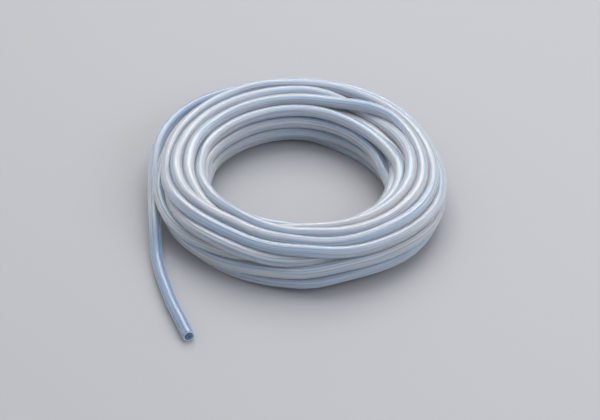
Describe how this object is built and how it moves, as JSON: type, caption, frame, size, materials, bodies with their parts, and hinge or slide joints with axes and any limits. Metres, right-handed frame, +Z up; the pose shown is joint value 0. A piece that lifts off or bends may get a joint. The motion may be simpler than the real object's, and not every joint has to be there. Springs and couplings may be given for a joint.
{
  "type": "silicone tubing coil",
  "caption": "Soft milky silicone tubing wound into a round coil that lies flat, with its free end lying loose in front and cut square.",
  "frame": {"origin": "centre of the coil's eye, on the surface that the coil lies on", "axes": "+Z up along the coil's axis; the free end lies towards -Y, on the -X side"},
  "size_m": [0.204, 0.2504, 0.037],
  "materials": {
    "silicone": "smooth extruded milky translucent silicone"
  },
  "bodies": {
    "root": {"wound_turns": "silicone", "free_end": "silicone"}
  },
  "joints": []
}
